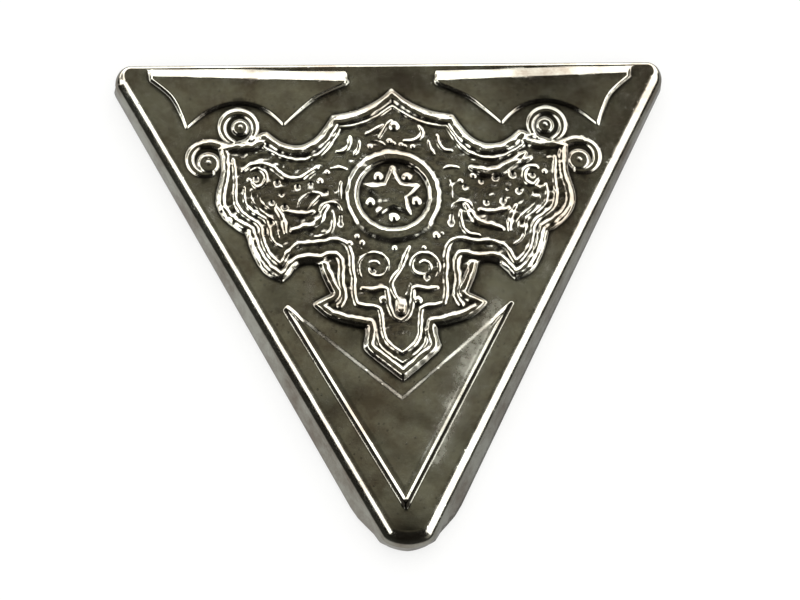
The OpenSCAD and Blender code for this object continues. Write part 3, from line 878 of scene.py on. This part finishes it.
class Nodes:
    """Short calls for building one material's nodes."""

    def __init__(self, name):
        self.material = bpy.data.materials.new(name)
        self.material.use_nodes = True
        self.tree = self.material.node_tree
        self.shader = self.tree.nodes["Principled BSDF"]

    def node(self, kind, **values):
        made = self.tree.nodes.new("ShaderNode" + kind)
        for key, value in values.items():
            if hasattr(made, key):
                setattr(made, key, value)
            else:
                made.inputs[key.replace("_", " ")].default_value = value
        return made

    def link(self, output, target):
        self.tree.links.new(output, target)

    def noise(self, where, scale, detail, roughness):
        made = self.node("TexNoise", Scale=scale, Detail=detail, Roughness=roughness)
        self.link(where, made.inputs["Vector"])
        return made.outputs["Fac"]

    def rescale(self, value, low, high, new_low, new_high):
        """Maps the range from low to high to a new range."""
        made = self.node("MapRange", From_Min=low, From_Max=high, To_Min=new_low, To_Max=new_high)
        self.link(value, made.inputs["Value"])
        return made.outputs["Result"]

    def bump(self, height, strength, metres, below=None):
        """Small bumps from a height, on top of those below."""
        made = self.node("Bump", Strength=strength, Distance=metres)
        self.link(height, made.inputs["Height"])
        if below is not None:
            self.link(below, made.inputs["Normal"])
        return made.outputs["Normal"]


DULL_TONE = (0.47, 0.41, 0.34, 1)
BRIGHT_TONE = (0.84, 0.84, 0.74, 1)
# Black of the tarnish and of the painted shade
TARNISH_AND_SHADE_BLACK = (0.01, 0.009, 0.007, 1)
HAIR_ANGLE = math.radians(-28)


def nickel():
    """Bright nickel plate: mottled tarnish, painted shade in hollows and grooves, shallow waves, hairline
    scratches and specks.
    """
    m = Nodes("nickel_plate")
    where = m.node("TexCoord").outputs["Object"]
    worn_and_shaded = m.node("SeparateColor")
    m.link(m.node("VertexColor", layer_name="wear").outputs["Color"], worn_and_shaded.inputs["Color"])

    # Blotches of two tones, blackened where the plate is tarnished and where shade is painted in its
    # hollows and grooves
    tone = m.node("ValToRGB")
    dull, bright = tone.color_ramp.elements
    dull.position, dull.color = 0.38, DULL_TONE
    bright.position, bright.color = 0.63, BRIGHT_TONE
    m.link(m.noise(where, 210, 6, 0.68), tone.inputs["Fac"])
    tarnish_and_shade = m.node("Mix", data_type="RGBA")
    m.link(worn_and_shaded.outputs["Red"], tarnish_and_shade.inputs["Factor"])
    m.link(tone.outputs["Color"], tarnish_and_shade.inputs[6])
    tarnish_and_shade.inputs[7].default_value = TARNISH_AND_SHADE_BLACK
    m.link(tarnish_and_shade.outputs[2], m.shader.inputs["Base Color"])

    # Uneven roughness, and more of it in the hazy streaks
    rough = m.rescale(m.noise(where, 1100, 4, 0.7), 0.3, 0.75, 0.09, 0.22)
    cloudy = m.rescale(m.noise(where, 900, 5, 0.75), 0.3, 0.75, 0.06, 0.27)
    hazy = m.node("Math", operation="MULTIPLY_ADD")
    m.link(worn_and_shaded.outputs["Green"], hazy.inputs[0])
    m.link(cloudy, hazy.inputs[1])
    m.link(rough, hazy.inputs[2])
    m.link(hazy.outputs["Value"], m.shader.inputs["Roughness"])

    # Waves, grain, hairlines that run one way, and specks
    turned = m.node("Mapping")
    turned.inputs["Rotation"].default_value = (0, 0, HAIR_ANGLE)
    turned.inputs["Scale"].default_value = (260, 5200, 260)
    m.link(where, turned.inputs["Vector"])
    specks = m.node("TexVoronoi", Scale=1500.0)
    m.link(where, specks.inputs["Vector"])
    pinholes = m.rescale(specks.outputs["Distance"], 0, 0.16, 1, 0)
    surface = m.bump(m.noise(where, 190, 2, 0.5), 1, 0.00006)
    surface = m.bump(m.noise(where, 1500, 3, 0.6), 1, 0.000006, surface)
    surface = m.bump(m.noise(turned.outputs["Vector"], 1, 3, 0.7), 0.35, 0.000003, surface)
    surface = m.bump(pinholes, 0.5, 0.00002, surface)
    m.link(surface, m.shader.inputs["Normal"])
    m.shader.inputs["Metallic"].default_value = 1.0
    return m.material


# Distance in metres, focal length in millimetres, turns in radians
CAMERA_DISTANCE = 0.3
LENS = 165
YAW, PITCH, ROLL = 0.0846, -0.3333, 0.0408


def make_camera():
    """A long lens that leans 19 degrees from straight above, as in the photograph."""
    turn = Matrix.Rotation(ROLL, 3, "Z") @ Matrix.Rotation(PITCH, 3, "X") @ Matrix.Rotation(YAW, 3, "Y")
    axes = turn.transposed()
    aim = Vector((0, 0, FACE_Z * MM))
    camera = bpy.data.objects.new("camera", bpy.data.cameras.new("camera"))
    bpy.context.scene.collection.objects.link(camera)
    place = axes.to_4x4()
    place.translation = aim + axes.col[2] * CAMERA_DISTANCE
    camera.matrix_world = place
    camera.data.sensor_width = 36
    camera.data.lens = LENS
    camera.data.clip_start = 0.01
    camera.data.clip_end = 50
    bpy.context.scene.camera = camera


# White boxes of the dome, in degrees. Columns: azimuth from, to, elevation from, to, soft edge
WHITE_BOXES = [
    (-52, 52, -3, 50, 9),
    (44, 121, 12, 56.5, 8),
    (-87, -40, 8, 50, 9),
    (-131, -72, 39, 60, 9)]
# Where the boxes are dimmer, and a faint grey box. Columns as above
DIM_BOX = (-60, -30, 10, 38, 9)
GREY_BOX = (122, 148, 5, 26, 9)
# Round spots of the ceiling. Columns: azimuth, elevation, reach across, reach upwards
PATCH_SPOT = (12, 71, 22, 3.2)
STREAK_SPOT = (19.5, 71.5, 2.2, 2)

# Even light on everything
EVEN_WHITE = (1, 1, 0.995, 1)
WORLD_STRENGTH = 1.12
FLOOR_GLOW = 0.68

# Colours of the dome
WHITE = (2.7, 2.69, 2.6)
CEILING = (0.172, 0.162, 0.117)
STREAK = (0.3, 0.295, 0.25)
GREY = (0.2, 0.195, 0.17)
BEHIND = (0.012, 0.011, 0.009)
LOW_DOWN = (0.025, 0.025, 0.022)
BELOW = (0.36, 0.36, 0.355)


def soft_box(azimuth, elevation, box):
    """1 inside a box of directions and 0 outside, with soft edges."""
    az_low, az_high, el_low, el_high, soft = box
    inside = 1.0
    for value, low, high in ((azimuth, az_low, az_high), (elevation, el_low, el_high)):
        inside = inside * smoothstep((value - low) / soft + 0.5)
        inside = inside * smoothstep((high - value) / soft + 0.5)
    return inside


def round_spot(azimuth, elevation, spot):
    """1 in the middle of a spot, fading away all round."""
    az, el, across, upwards = spot
    return np.exp(-((elevation - el) / upwards) ** 2 - ((azimuth - az) / across) ** 2)


def studio_light(direction):
    """What the plate mirrors in each direction: a dim ceiling, and white boxes with dark gaps."""
    x, y, z = direction.T
    elevation = np.degrees(np.arcsin(np.clip(z, -1, 1)))
    azimuth = np.degrees(np.arctan2(x, y))

    def mix(colour, other, share):
        return colour + (np.array(other) - colour) * share[:, None]

    # The ceiling is lightest where the flat plate mirrors it, with a darker corner on the right
    upper = smoothstep((elevation - 54) / 13) * (1 - 0.5 * smoothstep((elevation - 72) / 8))
    corner = smoothstep((azimuth - 11) / 12) * smoothstep((70 - elevation) / 4)
    patch = round_spot(azimuth, elevation, PATCH_SPOT)
    level = (0.2 + 0.33 * upper + 0.47 * patch) * (1 - 0.35 * corner)
    colour = np.array(CEILING) * level[:, None]
    colour = mix(colour, STREAK, 0.5 * round_spot(azimuth, elevation, STREAK_SPOT))
    colour = mix(colour, BEHIND, smoothstep((0.2 - y) / 0.4))
    grey = soft_box(azimuth, elevation, GREY_BOX)
    colour = mix(colour, GREY, grey)
    colour = mix(colour, LOW_DOWN, smoothstep((30 - elevation) / 20) * (1 - grey))
    # Below the horizon it starts lower on the left and is darker on the right
    left = smoothstep((-40 - azimuth) / 30) * smoothstep((azimuth + 150) / 40)
    right = smoothstep((azimuth - 40) / 30) * smoothstep((150 - azimuth) / 40)
    under = smoothstep((-elevation - 6 - 7 * left) / 10)
    below = np.array(BELOW) * (1 - 0.27 * right)[:, None]
    colour = colour + (below - colour) * under[:, None]
    white = np.maximum.reduce([soft_box(azimuth, elevation, box) for box in WHITE_BOXES])
    return mix(colour, WHITE, white * (1 - 0.87 * soft_box(azimuth, elevation, DIM_BOX)))


def make_dome():
    """A bright dome that only the plate's reflections see."""
    rings, turns, radius = 150, 300, 1.2
    up = np.linspace(-math.pi / 2, math.pi / 2, rings + 1)
    round_ = np.linspace(0, 2 * math.pi, turns, endpoint=False)
    el, az = np.meshgrid(up, round_, indexing="ij")
    way = np.stack([np.cos(el) * np.sin(az), np.cos(el) * np.cos(az), np.sin(el)], -1).reshape(-1, 3)
    faces = [(r * turns + t, r * turns + (t + 1) % turns, (r + 1) * turns + (t + 1) % turns,
              (r + 1) * turns + t) for r in range(rings) for t in range(turns)]
    dome_mesh = bpy.data.meshes.new("studio_dome")
    dome_mesh.from_pydata([tuple(p) for p in way * radius], [], faces)
    colours = dome_mesh.color_attributes.new("light", "FLOAT_COLOR", "POINT")
    colours.data.foreach_set("color", np.c_[studio_light(way), np.ones(len(way))].ravel())
    lit = bpy.data.materials.new("studio_dome")
    lit.use_nodes = True
    tree = lit.node_tree
    tree.nodes.clear()
    read = tree.nodes.new("ShaderNodeVertexColor")
    read.layer_name = "light"
    glow = tree.nodes.new("ShaderNodeEmission")
    out = tree.nodes.new("ShaderNodeOutputMaterial")
    tree.links.new(read.outputs["Color"], glow.inputs["Color"])
    tree.links.new(glow.outputs["Emission"], out.inputs["Surface"])
    dome_mesh.materials.append(lit)
    dome = bpy.data.objects.new("studio_dome", dome_mesh)
    for ray in ("camera", "diffuse", "shadow", "transmission", "volume_scatter"):
        setattr(dome, "visible_" + ray, False)
    return dome


def make_studio():
    """Even light, a pale floor, and the dome."""
    world = bpy.data.worlds.new("even_light")
    world.use_nodes = True
    background = world.node_tree.nodes["Background"]
    background.inputs["Color"].default_value = EVEN_WHITE
    background.inputs["Strength"].default_value = WORLD_STRENGTH
    bpy.context.scene.world = world

    half = 3.0
    floor_mesh = bpy.data.meshes.new("floor")
    floor_mesh.from_pydata([(-half, -half, 0), (half, -half, 0), (half, half, 0), (-half, half, 0)],
                           [], [(0, 1, 2, 3)])
    floor = bpy.data.objects.new("floor", floor_mesh)
    paper = Nodes("floor_paper")
    for key, value in (("Base Color", (0.3, 0.3, 0.298, 1)), ("Roughness", 0.9),
                       ("Emission Color", EVEN_WHITE), ("Emission Strength", FLOOR_GLOW)):
        paper.shader.inputs[key].default_value = value
    floor_mesh.materials.append(paper.material)
    floor.location.z = -0.00002
    floor.visible_glossy = False
    dome = make_dome()
    for thing in (floor, dome):
        bpy.context.scene.collection.objects.link(thing)
    bpy.context.scene.view_settings.view_transform = "Standard"


def make_tip():
    relief = pressed_relief()
    tip = mesh_object("collar_tip", build_sheet(relief))
    tip.data.materials.append(nickel())
    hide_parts("shell")
    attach(tip, "root")


make_tip()
make_camera()
make_studio()
